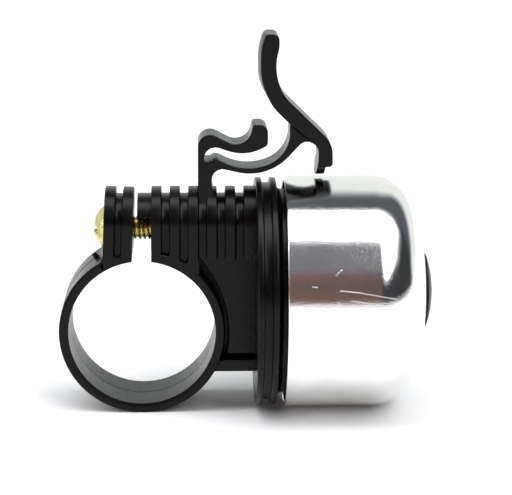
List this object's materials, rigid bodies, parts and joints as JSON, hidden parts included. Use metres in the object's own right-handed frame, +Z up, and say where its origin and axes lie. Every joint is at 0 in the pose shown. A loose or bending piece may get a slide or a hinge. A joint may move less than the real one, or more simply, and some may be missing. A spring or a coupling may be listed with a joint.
{
  "type": "bicycle bell",
  "caption": "Handlebar bell with a cup dome, a hinged clamp band closed by a screw, and a sprung flick striker.",
  "frame": {"origin": "centre of the handlebar bore, at the middle of the clamp band's width", "axes": "+Y along the handlebar bore, +X along the dome's own axis from the back plate to the crown, +Z up to the thumb lever"},
  "size_m": [0.0568, 0.0354, 0.0574],
  "materials": {
    "black_nylon": "semi-gloss moulded nylon",
    "black_cap": "semi-gloss moulded nylon",
    "satin_aluminium": "satin polished",
    "yellow_zinc": "yellow passivated zinc plate",
    "white_zinc": "clear zinc plate"
  },
  "bodies": {
    "mount": {"clamp_body": "black_nylon", "back_plate": "black_nylon", "striker_post": "black_nylon", "bell_dome": "satin_aluminium", "dome_washer": "white_zinc", "dome_screw": "white_zinc", "dome_cap": "black_cap", "clamp_nut": "white_zinc"},
    "jaw": {"clamp_jaw": "black_nylon"},
    "screw": {"clamp_screw": "yellow_zinc"},
    "striker": {"striker_lever": "black_nylon"}
  },
  "joints": [
    {"name": "clamp_close", "type": "hinge", "parent": "mount", "child": "jaw", "pos_m": [0, 0, -0.01183], "axis": [0, 1, 0], "range_deg": [-1.5, 0.8]},
    {"name": "clamp_screw_turn", "type": "hinge", "parent": "jaw", "child": "screw", "pos_m": [-0.0055, 0, 0.01515], "axis": [1, 0, 0], "range_deg": [-360, 192]},
    {"name": "striker_flex", "type": "hinge", "parent": "mount", "child": "striker", "pos_m": [0.01625, 0, 0.02433], "axis": [0, -1, 0], "range_deg": [-2.5, 25], "stiffness_Nm_per_rad": 0.1}
  ],
  "couplings": [
    {"joint": "clamp_screw_turn", "follows": "clamp_close", "ratio": 240}
  ]
}
